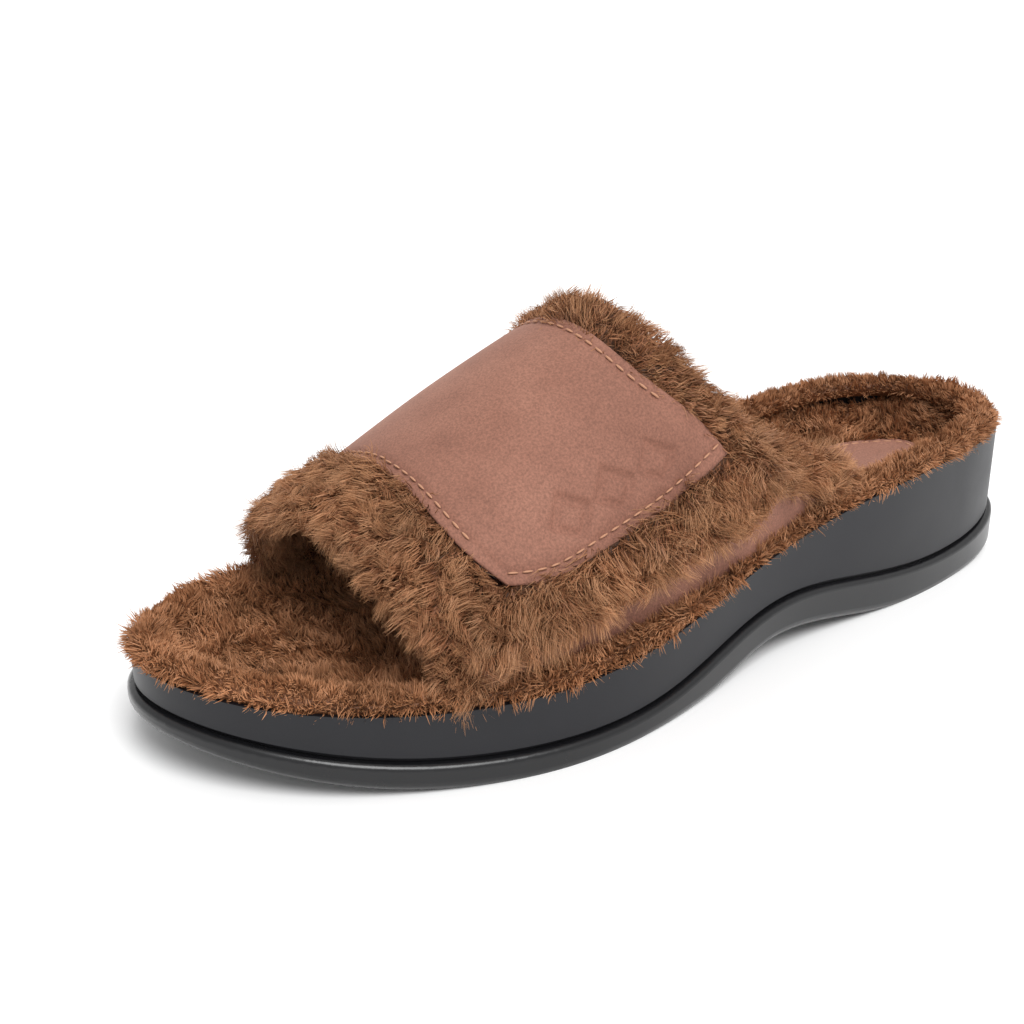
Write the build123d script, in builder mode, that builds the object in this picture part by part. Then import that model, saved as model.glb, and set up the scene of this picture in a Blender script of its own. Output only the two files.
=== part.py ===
from build123d import *
import os

# Fluffy slide slipper for a left foot, in millimetres.
# +Y points to the toe, +X to the medial (big toe) side, +Z up. The origin is the centre of the
# bounding box on the ground. The right slipper of the pair is the mirror image about the YZ plane.

# ---------------------------------------------------------------- driving dimensions
# Plan outline of the sole's wall, as the lateral side and the medial side, each from heel to toe.
lateral_outline = [
    (1, -131.6), (-18, -126.3), (-30.2, -102), (-35.4, -57), (-37.6, -17), (-44.6, 18), (-47.8, 56),
    (-39.6, 87), (-17.4, 120), (10, 132),
]
medial_outline = [
    (1, -131.6), (23.5, -124), (35.6, -95), (35.2, -60), (33.6, -27), (39.6, 5), (49.4, 52),
    (46.4, 90), (34.6, 120), (10, 132),
]

# Side views of the sole, as (y, z) points from heel to toe.
ground_line = [(-140, 5.5), (-122, 1.2), (-104, -0.5), (-62, -0.4), (-30, 4.6), (-12, 5.2), (8, 1.4),
               (28, -0.5), (78, -0.5), (100, 2), (120, 6.6), (142, 13)]
lip_line = [(-140, 17.5), (-126, 14), (-92, 9.9), (-52, 12.9), (-22, 16), (-4, 14.2), (24, 8.4), (60, 6.8),
            (94, 8.8), (118, 13), (142, 18.5)]
rim_line = [(-140, 38.9), (-92, 37), (-52, 34.2), (-12, 27.8), (28, 21.3), (68, 18.4), (108, 19.8),
            (142, 24.6)]
pocket_line = [(-140, 24), (-92, 16), (-52, 16.4), (-20, 18.8), (-4, 17.4), (28, 12), (68, 9.4), (104, 11.6),
               (142, 21)]

outline_steps = 16          # spans of a grown or shrunk outline, on each side
lip_overhang = 1.6          # how far the outsole's lip stands out of the wall
lip_edge = 1.5              # rounding of the lip's upper edge
sole_edge = 2.6             # rounding of the ground edge
welt_groove = 1.2           # height and depth of the groove between the lip and the wall
wall_thickness = 3.8        # midsole wall round the footbed

tread_depth = 1.6
tread_width = 2.4
tread_pitch = 9.0
tread_border = 8.0          # plain band round the tread
tread_radius = 90.0         # each tread groove is an arc of this radius

# Footbed stations: y, centre x, half width, height at the rim, height at the centre.
footbed_stations = [
    (-137, 1, 30, 42, 42), (-128, 1, 30, 40.6, 38.6), (-119, 1, 30.5, 40, 28), (-100, 2.5, 34, 39, 22.6),
    (-62, -0.2, 35.4, 36.6, 21.4), (-22, -2, 36, 31.2, 21.2), (24, -2, 43.5, 23.2, 17.2),
    (66, 1, 48, 19.6, 13.6), (102, 4, 38, 20.6, 14.2), (120, 8, 31, 22.8, 17.2), (128.5, 9, 28, 24.4, 23),
    (139, 9.6, 26, 26, 26),
]
cup_power = 3.2             # how late the footbed rises towards its rim
dish_parts = (-1.3, -1, -0.8, -0.5, 0, 0.5, 0.8, 1, 1.3)  # where a station's curve is drawn, in half widths
cover_thickness = 3.2       # fleece with its pile pressed down
cover_inset = 0.4           # the fleece rim stands this far inside the wall

patch_centre = (0, -90)
patch_radii = (14.5, 22)
patch_thickness = 1.0

tread_rows = (*range(-13, -6), *range(1, 13))

# Arch stations of the upper, measured on the strap's leather:
# y, lateral x, medial x, height where it meets the sole, height of the crest.
upper_stations = [
    (-64, -36, 30.6, 38, 129), (-30, -38.4, 31.8, 33, 113.5), (-4, -43.4, 35.4, 27.6, 100),
    (24, -46.8, 40.6, 23, 88), (50, -47.6, 45, 20, 74.5), (74, -46.8, 45.6, 20, 61),
    (98, -41.4, 42, 21, 48.5),
]
crest_x = 2.0               # where the lateral side view ends and the medial one begins
margin_depth = 9.0          # leather that goes down into the sole

# Layers of the upper as (outer, inner) offsets from the face of the strap's leather.
leather_layer = (0, -1.4)
foam_layer = (-1.4, -3.4)
strap_fleece_layer = (-3.4, -6.6)
strap_cuff_layer = (3.0, -3.4)
hook_layer = (-3.4, -4.3)
loop_layer = (-4.7, -5.7)
flap_leather_layer = (-5.7, -7.1)
flap_fleece_layer = (-7.1, -10.4)
flap_cuff_layer = (-6.2, -10.4)

fleece_rim = 4.6            # fleece above the wall at its rim
hinge_gap = 0.6             # the strap's pieces start this far above the fleece rim
flap_top_x = -24.0          # the flap's free edge, under the strap
strap_fleece_x = -20.5      # the strap's fleece stops here, short of the flap

# Side views of the upper's edges, as (y, z) points from the crest down.
front_edge_lateral = [(77.5, 104), (76, 62), (74.4, 50), (69, 43.6)]
front_edge_medial = [(77.5, 104), (76, 62), (74.4, 40), (73, 8)]
end_edge = [(69, 43.6), (58, 43), (46.5, 45.6), (28, 51), (6, 60)]
rear_edge_lateral = [(31, 104), (26, 88), (22, 79), (14, 70.5), (6, 60)]
rear_edge_medial = [(31, 104), (26, 88), (22, 79), (14, 71), (4, 62), (-12, 51.5), (-29, 43), (-40, 28)]
flap_front_edge = [(74, 84), (75, 50), (78, 10)]
flap_rear_edge = [(22, 84), (14, 69), (6, 60), (-12, 50), (-29, 42.5), (-38, 28)]

# The same for the outside of the fur cuffs.
fur_front_lateral = [(84, 104), (92, 58), (95, 44), (90, 33), (82, 26.5)]
fur_front_medial = [(84, 104), (92, 58), (96, 44), (91, 30), (84, 8)]
fur_end = [(82, 26.5), (63, 31), (38, 36.5), (14, 40.5), (-6, 43), (-18, 50)]
fur_rear_lateral = [(21, 108), (17, 95), (10, 84), (0, 70), (-10, 58), (-18, 50)]
fur_rear_medial = [(21, 108), (17, 95), (10, 84), (-3, 72), (-20, 61), (-32, 55), (-44, 48), (-57, 39),
                   (-62, 28)]
flap_fur_front = [(88, 84), (87, 50), (85, 10)]
flap_fur_rear = [(6, 84), (-4, 71), (-20, 61), (-32, 55), (-44, 48), (-57, 39), (-62, 28)]

# The hook pad and the loop pad, each as its front, low and rear edge.
hook_field = [[(60, 70), (52, 50), (48, 48)], [(48, 48), (30, 53), (14, 60)], [(14, 60), (20, 68), (28, 78)]]
loop_field = [[(64, 72), (62, 50), (58, 38)], [(58, 38), (30, 44), (4, 50)], [(4, 50), (12, 62), (24, 78)]]
pad_top_x = -29.0           # upper limit of the hook pad and the loop pad, under the strap

far = 80.0                  # reach of a cutting block to either side
sky = 140.0                 # above every piece


def raised(line, height):
    """The same side view, moved up."""
    return [(y, z + height) for y, z in line]


def sole_outline(grow=0.0):
    """The wall's plan outline, grown or shrunk along its own normals."""
    with BuildSketch() as plan:
        with BuildLine():
            for side, out in ((lateral_outline, -1), (medial_outline, 1)):
                ends = ((out, 0), (-out, 0))
                wall = Spline(*side, tangents=ends, tangent_scalars=(1, 1), mode=Mode.PRIVATE)
                moved = []
                for step in range(outline_steps + 1):
                    along = wall % (step / outline_steps)
                    moved.append(wall @ (step / outline_steps) + Vector(along.Y, -along.X) * grow * out)
                Spline(*moved, tangents=ends, tangent_scalars=(1, 1))
        make_face()
    return plan.sketch


def side_view(*edges):
    """A side view closed by its edges in turn, with straight lines where they don't meet."""
    with BuildSketch() as view:
        with BuildLine():
            curves = [Spline(*edge) for edge in edges]
            for curve, following in zip(curves, curves[1:] + curves[:1]):
                if (curve @ 1 - following @ 0).length > 0.01:
                    Line(curve @ 1, following @ 0)
        make_face()
    return view.sketch


def sole_block(grow, lower, upper):
    """A block of the sole's plan between two side-view curves."""
    with BuildPart() as block:
        with BuildSketch(Plane.XY.offset(-10)):
            add(sole_outline(grow))
        extrude(amount=sky)
        with BuildSketch(Plane.YZ):
            add(side_view(lower, upper[::-1]))
        extrude(amount=far, both=True, mode=Mode.INTERSECT)
    return block.part


def dished_block(lift):
    """The footbed's dished form, raised by lift, down to the ground."""
    with BuildPart() as block:
        for y, mid, half, rim, centre in footbed_stations:
            with BuildSketch(Plane.XZ.offset(-y)):
                with BuildLine():
                    dish = Spline(*[
                        (mid + part * half, centre + lift + (rim - centre) * abs(part) ** cup_power)
                        for part in dish_parts
                    ])
                    Polyline(dish @ 1, ((dish @ 1).X, 0), ((dish @ 0).X, 0), dish @ 0)
                make_face()
        loft()
    return block.part


def arch_block(layer):
    """One layer of the upper: half ellipses lofted over the foot, with straight legs into the sole."""
    with BuildPart() as block:
        for y, lateral, medial, base, crest in upper_stations:
            middle = ((medial + lateral) / 2, base)
            half, rise = (medial - lateral) / 2, crest - base
            with BuildSketch(Plane.XZ.offset(-y)):
                with BuildLine():
                    outer = EllipticalCenterArc(middle, half + layer[0], rise + layer[0], arc_size=180)
                    inner = EllipticalCenterArc(middle, half + layer[1], rise + layer[1], arc_size=180)
                    for end in (0, 1):
                        outside, inside = (outer @ end).X, (inner @ end).X
                        foot = base - margin_depth
                        Polyline(outer @ end, (outside, foot), (inside, foot), inner @ end)
                make_face()
        loft()
    return block.part


def upper_field(lateral=(), medial=(), start=crest_x):
    """The space that side views of the lateral half and of the medial half leave for a piece."""
    with BuildPart() as field:
        for edges, reach in ((lateral, -far), (medial, far)):
            if edges:
                with BuildSketch(Plane.YZ.offset(start)):
                    add(side_view(*edges))
                extrude(amount=reach)
    return field.part


# ---------------------------------------------------------------- cutters
rim_top = raised(rim_line, fleece_rim)
hinge_clearance = upper_field(medial=(raised(rim_line, -40), raised(rim_top, hinge_gap)[::-1]))
margin_space = upper_field(medial=(raised(rim_top, -margin_depth), raised(rim_top, hinge_gap / 3)[::-1]))
pocket = sole_block(-wall_thickness, pocket_line, raised(rim_line, 40))
under_footbed = sole_block(lip_overhang, raised(ground_line, -8), raised(pocket_line, 1.5))
neck = sole_block(-welt_groove, raised(lip_line, -welt_groove), raised(lip_line, 0.5))

# Arcs across the sole, inside the plain border, one depth deep along the curved ground line.
with BuildPart() as tread_cutter:
    with BuildSketch(Plane.XY.offset(-10)):
        for row in tread_rows:
            with BuildLine(mode=Mode.PRIVATE) as groove_line:
                CenterArc((0, row * tread_pitch - tread_radius), tread_radius, 55, 70)
            SlotArc(groove_line.edges()[0], tread_width)
    extrude(amount=40)
    add(sole_block(-tread_border, raised(ground_line, -8), raised(ground_line, tread_depth)),
        mode=Mode.INTERSECT)

# ---------------------------------------------------------------- sole
# Rubber outsole: rocker under the toe, raised waist, and a rounded lip that stands out of the wall.
# The ground line dips just under the ground, so the cut there leaves flat contact areas.
with BuildPart() as outsole:
    add(sole_block(lip_overhang, ground_line, raised(lip_line, -welt_groove)))
    fillet(outsole.faces().sort_by(Axis.Z)[-1].edges(), lip_edge)
    fillet(outsole.faces().sort_by(Axis.Z)[0].edges(), sole_edge)
    add(tread_cutter.part, mode=Mode.SUBTRACT)
    split(bisect_by=Plane.XY, keep=Keep.TOP)
outsole.part.label = "outsole"

# Midsole: the tall plain wall, with a neck that makes the welt groove and a pocket for the footbed.
with BuildPart() as midsole:
    add(sole_block(0, lip_line, rim_line))
    add(neck)
    add(pocket, mode=Mode.SUBTRACT)
midsole.part.label = "midsole"

# ---------------------------------------------------------------- upper: margins that go into the sole
# Lateral flap: nubuck that stands out of the sole and lies under the strap's free end.
with BuildPart() as flap_leather:
    add(arch_block(flap_leather_layer))
    add(upper_field(lateral=(flap_front_edge, flap_rear_edge[::-1]), start=flap_top_x), mode=Mode.INTERSECT)
    add(midsole.part, mode=Mode.SUBTRACT)
    add(under_footbed, mode=Mode.SUBTRACT)
flap_leather.part.label = "flap_leather"

# The strap's medial margin, below the line where the strap bends as it opens.
with BuildPart() as strap_margin:
    add(arch_block(leather_layer))
    add(upper_field(medial=(front_edge_medial, rear_edge_medial[::-1])), mode=Mode.INTERSECT)
    add(margin_space, mode=Mode.INTERSECT)
    add(midsole.part, mode=Mode.SUBTRACT)
strap_margin.part.label = "strap_margin"

# ---------------------------------------------------------------- footbed
# Footbed: moulded foam with a deep heel cup, a raised arch and a toe rim, slotted for the margins.
with BuildPart() as footbed:
    add(dished_block(0))
    add(pocket, mode=Mode.INTERSECT)
    add(flap_leather.part, mode=Mode.SUBTRACT)
    add(strap_margin.part, mode=Mode.SUBTRACT)
footbed.part.label = "footbed"

# Fleece cover: follows the footbed and rolls over the top edge of the wall as a rim.
with BuildPart() as footbed_cover:
    add(dished_block(cover_thickness))
    add(sole_block(-cover_inset, pocket_line, rim_top), mode=Mode.INTERSECT)
    for seat in (midsole, footbed, flap_leather, strap_margin):
        add(seat.part, mode=Mode.SUBTRACT)
footbed_cover.part.label = "footbed_cover"

# Heel patch: an oval of leather on the fleece of the heel cup.
with BuildPart() as heel_patch:
    with BuildSketch():
        with Locations(patch_centre):
            Ellipse(*patch_radii)
    extrude(amount=sky)
    add(dished_block(cover_thickness + patch_thickness), mode=Mode.INTERSECT)
    add(dished_block(cover_thickness), mode=Mode.SUBTRACT)
heel_patch.part.label = "heel_patch"

# ---------------------------------------------------------------- lateral flap
flap_seat = upper_field(lateral=(raised(rim_line, -40), raised(rim_top, -3)[::-1]))

# Fleece inside the flap.
with BuildPart() as flap_lining:
    add(arch_block(flap_fleece_layer))
    add(upper_field(lateral=(flap_front_edge, flap_rear_edge[::-1]), start=flap_top_x), mode=Mode.INTERSECT)
    add(flap_seat, mode=Mode.SUBTRACT)
    add(footbed_cover.part, mode=Mode.SUBTRACT)
flap_lining.part.label = "flap_lining"

# Fur along the flap's front edge.
with BuildPart() as flap_front_cuff:
    add(arch_block(flap_cuff_layer))
    add(upper_field(lateral=(flap_fur_front, flap_front_edge[::-1]), start=flap_top_x), mode=Mode.INTERSECT)
    add(flap_seat, mode=Mode.SUBTRACT)
    add(footbed_cover.part, mode=Mode.SUBTRACT)
flap_front_cuff.part.label = "flap_front_cuff"

# Fur along the flap's rear edge, wider towards the sole.
with BuildPart() as flap_rear_cuff:
    add(arch_block(flap_cuff_layer))
    add(upper_field(lateral=(flap_rear_edge, flap_fur_rear[::-1]), start=flap_top_x), mode=Mode.INTERSECT)
    add(flap_seat, mode=Mode.SUBTRACT)
    add(footbed_cover.part, mode=Mode.SUBTRACT)
flap_rear_cuff.part.label = "flap_rear_cuff"

# Loop side of the closure, sewn to the outside of the flap.
with BuildPart() as loop_pad:
    add(arch_block(loop_layer))
    add(upper_field(lateral=loop_field, start=pad_top_x), mode=Mode.INTERSECT)
loop_pad.part.label = "loop_pad"

# ---------------------------------------------------------------- strap
# Nubuck panel over the foot, with a rounded lower front corner at its free end.
with BuildPart() as strap_leather:
    add(arch_block(leather_layer))
    add(upper_field(lateral=(front_edge_lateral, end_edge, rear_edge_lateral[::-1]),
                    medial=(front_edge_medial, rear_edge_medial[::-1])), mode=Mode.INTERSECT)
    add(hinge_clearance, mode=Mode.SUBTRACT)
strap_leather.part.label = "strap_leather"

# Thin foam behind the leather.
with BuildPart() as strap_foam:
    add(arch_block(foam_layer))
    add(upper_field(lateral=(front_edge_lateral, end_edge, rear_edge_lateral[::-1]),
                    medial=(front_edge_medial, rear_edge_medial[::-1])), mode=Mode.INTERSECT)
    add(hinge_clearance, mode=Mode.SUBTRACT)
strap_foam.part.label = "strap_foam"

# Fleece inside the strap, from the medial side to the flap's free edge.
with BuildPart() as strap_lining:
    add(arch_block(strap_fleece_layer))
    add(upper_field(medial=(fur_front_medial, fur_rear_medial[::-1]), start=strap_fleece_x),
        mode=Mode.INTERSECT)
    add(hinge_clearance, mode=Mode.SUBTRACT)
strap_lining.part.label = "strap_lining"

# Fur along the strap's front edge, from the medial side to the free end's front corner.
with BuildPart() as strap_front_cuff:
    add(arch_block(strap_cuff_layer))
    add(upper_field(lateral=(fur_front_lateral, front_edge_lateral[::-1]),
                    medial=(fur_front_medial, front_edge_medial[::-1])), mode=Mode.INTERSECT)
    add(hinge_clearance, mode=Mode.SUBTRACT)
strap_front_cuff.part.label = "strap_front_cuff"

# Fur along the free end.
with BuildPart() as strap_end_cuff:
    add(arch_block(strap_cuff_layer))
    add(upper_field(lateral=(end_edge, fur_end[::-1])), mode=Mode.INTERSECT)
strap_end_cuff.part.label = "strap_end_cuff"

# Fur along the strap's rear edge, from the free end's rear corner to the medial side.
with BuildPart() as strap_rear_cuff:
    add(arch_block(strap_cuff_layer))
    add(upper_field(lateral=(rear_edge_lateral, fur_rear_lateral[::-1]),
                    medial=(rear_edge_medial, fur_rear_medial[::-1])), mode=Mode.INTERSECT)
    add(hinge_clearance, mode=Mode.SUBTRACT)
strap_rear_cuff.part.label = "strap_rear_cuff"

# Hook side of the closure, sewn inside the strap's free end.
with BuildPart() as hook_pad:
    add(arch_block(hook_layer))
    add(upper_field(lateral=hook_field, start=pad_top_x), mode=Mode.INTERSECT)
hook_pad.part.label = "hook_pad"

# ---------------------------------------------------------------- files
os.makedirs("parts", exist_ok=True)
for piece in (
    outsole, midsole, footbed, footbed_cover, heel_patch, strap_margin,
    flap_leather, flap_lining, flap_front_cuff, flap_rear_cuff, loop_pad,
    strap_leather, strap_foam, strap_lining, strap_front_cuff, strap_end_cuff, strap_rear_cuff, hook_pad,
):
    export_step(piece.part, f"parts/{piece.part.label}.step")
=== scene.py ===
import math

import bmesh
import bpy
import numpy as np
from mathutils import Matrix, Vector
from mathutils.bvhtree import BVHTree


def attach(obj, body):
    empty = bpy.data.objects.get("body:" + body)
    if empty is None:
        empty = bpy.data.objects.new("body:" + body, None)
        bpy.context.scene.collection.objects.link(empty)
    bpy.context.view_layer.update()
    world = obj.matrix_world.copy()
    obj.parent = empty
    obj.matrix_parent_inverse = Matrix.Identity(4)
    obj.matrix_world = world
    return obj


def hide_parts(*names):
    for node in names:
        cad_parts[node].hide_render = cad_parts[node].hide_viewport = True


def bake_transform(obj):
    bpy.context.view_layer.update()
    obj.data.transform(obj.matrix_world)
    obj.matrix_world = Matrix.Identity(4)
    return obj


bl_info = {
    "name": "Fluffy house slipper",
    "version": (1, 0, 0),
    "blender": (4, 5, 0),
    "location": "View3D > Sidebar > Slipper",
    "description": "Dresses the slipper's frame in nubuck, plush fleece, stitching and moulded sole finishes",
    "category": "Object",
}

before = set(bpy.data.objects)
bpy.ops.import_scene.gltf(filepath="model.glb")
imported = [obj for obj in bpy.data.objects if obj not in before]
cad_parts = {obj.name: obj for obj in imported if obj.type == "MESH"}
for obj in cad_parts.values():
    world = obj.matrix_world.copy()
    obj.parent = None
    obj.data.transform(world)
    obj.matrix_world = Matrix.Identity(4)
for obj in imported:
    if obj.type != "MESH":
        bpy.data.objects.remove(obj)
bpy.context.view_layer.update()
MM = 0.001

# The upper is a row of half ellipses over the foot, in millimetres: y, lateral x, medial x,
# height where it meets the sole, height of the crest of the strap's leather.
UPPER_STATIONS = np.array([
    (-64, -36, 30.6, 38, 129), (-30, -38.4, 31.8, 33, 113.5), (-4, -43.4, 35.4, 27.6, 100),
    (24, -46.8, 40.6, 23, 88), (50, -47.6, 45, 20, 74.5), (74, -46.8, 45.6, 20, 61),
    (98, -41.4, 42, 21, 48.5),
], float)
LEG_SPAN = 60.0             # below the half ellipse, this many millimetres count as one turn
GIRTH = 118.0               # one turn over the foot beside the strap's free end, in millimetres
SEAM_WIDTH = 0.9            # half the width of the groove that a row of stitches draws, in millimetres
FULL_WITHIN = 7.0           # the leather rises to its full height over this distance from an edge

# Edges of the upper as (y, z) points in side view, from the crest down, and low edges from toe to heel.
FRONT_LATERAL = [(77.5, 104), (76, 62), (74.4, 50), (69, 43.6)]
FRONT_MEDIAL = [(77.5, 104), (76, 62), (74.4, 40), (73, 8)]
END_EDGE = [(69, 43.6), (58, 43), (46.5, 45.6), (28, 51), (6, 60)]
REAR_LATERAL = [(31, 104), (26, 88), (22, 79), (14, 70.5), (6, 60)]
REAR_MEDIAL = [(31, 104), (26, 88), (22, 79), (14, 71), (4, 62), (-12, 51.5), (-29, 43), (-40, 28)]
FLAP_FRONT = [(74, 84), (75, 50), (78, 10)]
FLAP_REAR = [(22, 84), (14, 69), (6, 60), (-12, 50), (-29, 42.5), (-38, 28)]
FUR_FRONT_LATERAL = [(84, 104), (92, 58), (95, 44), (90, 33), (82, 26.5)]
FUR_FRONT_MEDIAL = [(84, 104), (92, 58), (96, 44), (91, 30), (84, 8)]
FUR_END = [(82, 26.5), (63, 31), (38, 36.5), (14, 40.5), (-6, 43), (-18, 50)]
FUR_REAR_LATERAL = [(21, 108), (17, 95), (10, 84), (0, 70), (-10, 58), (-18, 50)]
FUR_REAR_MEDIAL = [(21, 108), (17, 95), (10, 84), (-3, 72), (-20, 61), (-32, 55), (-44, 48), (-57, 39),
                   (-62, 28)]
FLAP_FUR_FRONT = [(88, 84), (87, 50), (85, 10)]
FLAP_FUR_REAR = [(6, 84), (-4, 71), (-20, 61), (-32, 55), (-44, 48), (-57, 39), (-62, 28)]

# Top of the wall as (y, z) points, and the oval patch in the heel cup.
WALL_TOP = [(-140, 38.9), (-92, 37), (-52, 34.2), (-12, 27.8), (28, 21.3), (68, 18.4), (108, 19.8),
            (142, 24.6)]
PATCH_CENTRE = (0.0, -90.0)
PATCH_RADII = (14.5, 22.0)

# How far each layer lies outside the upper's surface, in millimetres.
STRAP_LINING_LIFT = -3.9
FLAP_LIFT = -5.7
FLAP_LINING_LIFT = -7.3
STRAP_FOOT = -0.075         # the strap's leather starts this far below its bending line, inside the sole
CUFF_FOOT = -0.02           # and its cuffs start here

# The pressed motif: three lozenges in a row beside the free end, in the side view's y and z.
MOTIF_MIDDLE = np.array((38.0, 58.0))
MOTIF_ROW = np.array((-0.95, 0.31))
MOTIF_PITCH = 12.5


# ---------------------------------------------------------------- shape helpers
def smooth_curve(points, at):
    """A natural cubic curve through (x, value) points, read at the given places."""
    points = np.array(sorted(tuple(p) for p in points), float)
    x, value = points[:, 0], points[:, 1]
    step = np.diff(x)
    size = len(x)
    rows, right = np.eye(size), np.zeros(size)
    for i in range(1, size - 1):
        rows[i, i - 1:i + 2] = step[i - 1], 2 * (step[i - 1] + step[i]), step[i]
        right[i] = 6 * ((value[i + 1] - value[i]) / step[i] - (value[i] - value[i - 1]) / step[i - 1])
    bend = np.linalg.solve(rows, right)
    at = np.clip(np.asarray(at, float), x[0], x[-1])
    i = np.clip(np.searchsorted(x, at) - 1, 0, size - 2)
    a, b, h = x[i + 1] - at, at - x[i], step[i]
    return ((bend[i] * a ** 3 + bend[i + 1] * b ** 3) / (6 * h)
            + (value[i] / h - bend[i] * h / 6) * a + (value[i + 1] / h - bend[i + 1] * h / 6) * b)


def station(y):
    """Middle x, half width, base height and rise of the upper at y."""
    lateral, medial, base, crest = (
        smooth_curve(UPPER_STATIONS[:, (0, i)], y) for i in range(1, 5))
    return (medial + lateral) / 2, (medial - lateral) / 2, base, crest - base


def on_upper(y, t, lift=0.0):
    """Points on the upper: t runs from 0 at the medial base over the crest to 1 at the lateral base."""
    y, t = np.broadcast_arrays(np.asarray(y, float), np.asarray(t, float))
    mid, half, base, rise = station(y)
    turn = np.clip(t, 0, 1) * math.pi
    drop = (np.clip(-t, 0, None) + np.clip(t - 1, 0, None)) * LEG_SPAN
    return np.stack([mid + (half + lift) * np.cos(turn), y, base + (rise + lift) * np.sin(turn) - drop], -1)


def turn_at(y, z, lateral):
    """The t of the point of the upper that has this y and z."""
    mid, half, base, rise = station(y)
    up = np.arcsin(np.clip((z - base) / rise, 0, 1)) / math.pi - np.clip(base - z, 0, None) / LEG_SPAN
    return np.where(lateral, 1 - up, up)


def edge_y(t, lateral, medial):
    """The y where a side-view edge crosses the upper, for each t."""
    t = np.asarray(t, float)
    y = np.full(t.shape, 40.0)
    for _ in range(40):
        z = on_upper(y, t)[..., 2]
        there = np.where(t > 0.5, smooth_curve([p[::-1] for p in lateral], z),
                         smooth_curve([p[::-1] for p in medial], z))
        y = 0.6 * y + 0.4 * there
    return y


def mapped_grid(name, across, along, place, closed=False):
    """A grid whose unit square is laid in space by place(u, v), in millimetres."""
    bm = bmesh.new()
    bmesh.ops.create_grid(bm, x_segments=across, y_segments=along, size=0.5, calc_uvs=False)
    flat = np.array([v.co[:2] for v in bm.verts]) + 0.5
    layer = bm.loops.layers.uv.new("Surface")
    bm.verts.index_update()
    for face in bm.faces:
        for loop in face.loops:
            loop[layer].uv = flat[loop.vert.index]
    for vert, point in zip(bm.verts, place(flat[:, 0], flat[:, 1]) * MM):
        vert.co = point
    if closed:
        bmesh.ops.remove_doubles(bm, verts=bm.verts, dist=1e-6)
    return finish_mesh(name, bm)


def finish_mesh(name, bm):
    """Turns a bmesh into a smooth-shaded object at the origin."""
    mesh = bpy.data.meshes.new(name)
    bm.to_mesh(mesh)
    bm.free()
    mesh.shade_smooth()
    obj = bpy.data.objects.new(name, mesh)
    bpy.context.collection.objects.link(obj)
    return obj


def close_up(obj):
    """Fills any open ends of a piece and turns its faces outwards."""
    bm = bmesh.new()
    bm.from_mesh(obj.data)
    bmesh.ops.holes_fill(bm, edges=[e for e in bm.edges if e.is_boundary])
    bmesh.ops.recalc_face_normals(bm, faces=bm.faces)
    bm.to_mesh(obj.data)
    bm.free()
    return obj


def faces_towards(obj, direction_at):
    """Turns the faces over if most of them look away from direction_at(point)."""
    mesh = obj.data
    score = sum(p.normal.dot(Vector(direction_at(p.center))) * p.area for p in mesh.polygons)
    if score < 0:
        mesh.flip_normals()
    mesh.update()
    return obj


def modify(obj, kind, **settings):
    """Adds a modifier with its settings."""
    modifier = obj.modifiers.new(kind.title(), kind)
    for name, value in settings.items():
        setattr(modifier, name, value)
    return modifier


def apply_modifiers(obj):
    """Makes what the modifiers give the piece's own mesh."""
    bpy.context.view_layer.update()
    graph = bpy.context.evaluated_depsgraph_get()
    mesh = bpy.data.meshes.new_from_object(obj.evaluated_get(graph), preserve_all_data_layers=True,
                                           depsgraph=graph)
    obj.modifiers.clear()
    old, obj.data = obj.data, mesh
    mesh.name = obj.name
    bpy.data.meshes.remove(old)
    return obj


def soft_copy(node, name, voxel, shrink, rounds):
    """A rounded, slightly smaller copy of a CAD solid, as a soft piece's body."""
    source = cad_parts[node]
    bm = bmesh.new()
    bm.from_mesh(source.data)
    bm.transform(source.matrix_world)
    bmesh.ops.remove_doubles(bm, verts=bm.verts, dist=1e-6)
    obj = finish_mesh(name, bm)
    obj.data.materials.clear()
    modify(obj, "REMESH", mode="VOXEL", voxel_size=voxel * MM, use_smooth_shade=True)
    modify(obj, "SMOOTH", factor=0.5, iterations=rounds)
    modify(obj, "DISPLACE", strength=-shrink * MM, mid_level=0.0)
    modify(obj, "SMOOTH", factor=0.5, iterations=3)
    return apply_modifiers(obj)


# ---------------------------------------------------------------- materials
def linear(hex_colour, alpha=1.0):
    """An sRGB hex value as a linear colour."""
    parts = [int(hex_colour[i:i + 2], 16) / 255 for i in (1, 3, 5)]
    return (*[c / 12.92 if c <= 0.04045 else ((c + 0.055) / 1.055) ** 2.4 for c in parts], alpha)


def add_node(tree, kind, links=None, **settings):
    """Adds a node. Links maps sockets to another socket or a fixed value, and settings are its properties."""
    node = tree.nodes.new(kind)
    for name, value in settings.items():
        setattr(node, name, value)
    for socket, value in (links or {}).items():
        target = node.inputs[socket]
        if isinstance(value, bpy.types.NodeSocket):
            tree.links.new(value, target)
        else:
            target.default_value = value
    return node


def ramp(node, stops):
    """Sets a colour ramp's stops from (position, hex) pairs."""
    elements = node.color_ramp.elements
    while len(elements) < len(stops):
        elements.new(0.5)
    for element, (position, colour) in zip(elements, stops):
        element.position = position
        element.color = linear(colour)
    return node.outputs["Color"]


def new_material(name):
    """An empty node material and its output."""
    material = bpy.data.materials.get(name)
    if material:
        return material, None, None
    material = bpy.data.materials.new(name)
    material.use_nodes = True
    tree = material.node_tree
    tree.nodes.clear()
    return material, tree, add_node(tree, "ShaderNodeOutputMaterial")


def per_metre(size_mm):
    """A texture scale whose cells are about this many millimetres."""
    return 1000.0 / size_mm


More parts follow.
